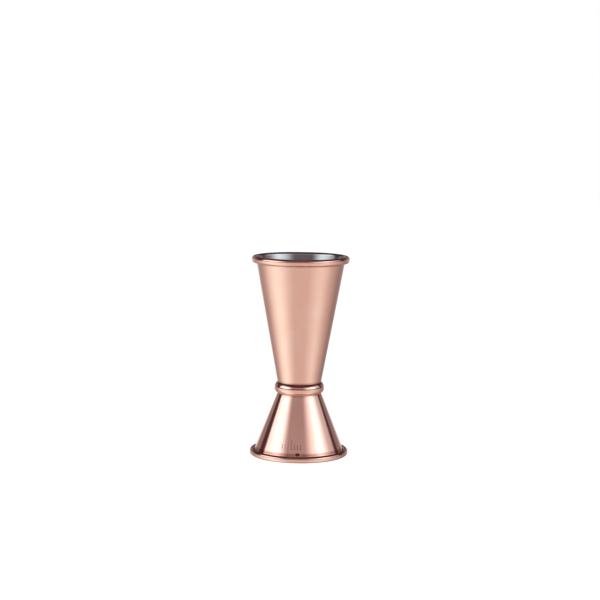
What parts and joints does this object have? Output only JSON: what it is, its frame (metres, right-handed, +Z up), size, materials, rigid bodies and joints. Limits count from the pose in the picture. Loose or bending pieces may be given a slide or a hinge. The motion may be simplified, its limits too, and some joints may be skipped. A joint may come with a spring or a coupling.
{
  "type": "bar jigger",
  "caption": "Double-ended conical bar measure: a long cup and a short cup joined base to base, with rolled rims and a half-round waist ring, copper plated outside.",
  "frame": {"origin": "middle of the short cup's rim plane, the face it stands on", "axes": "+Z up the cups' common axis, from the short cup to the long cup; X and Y are free, the part is round"},
  "size_m": [0.0486, 0.0484, 0.0985],
  "materials": {
    "long_cup_copper_plate": "polished",
    "short_cup_copper_plate": "polished",
    "waist_ring_copper_plate": "polished",
    "plated_filler": "satin",
    "brazing_filler": "satin"
  },
  "bodies": {
    "root": {"long_cup": "long_cup_copper_plate", "short_cup": "short_cup_copper_plate", "waist_ring": "waist_ring_copper_plate", "base_filler": "brazing_filler", "upper_ring_filler": "plated_filler", "lower_ring_filler": "plated_filler"}
  },
  "joints": []
}
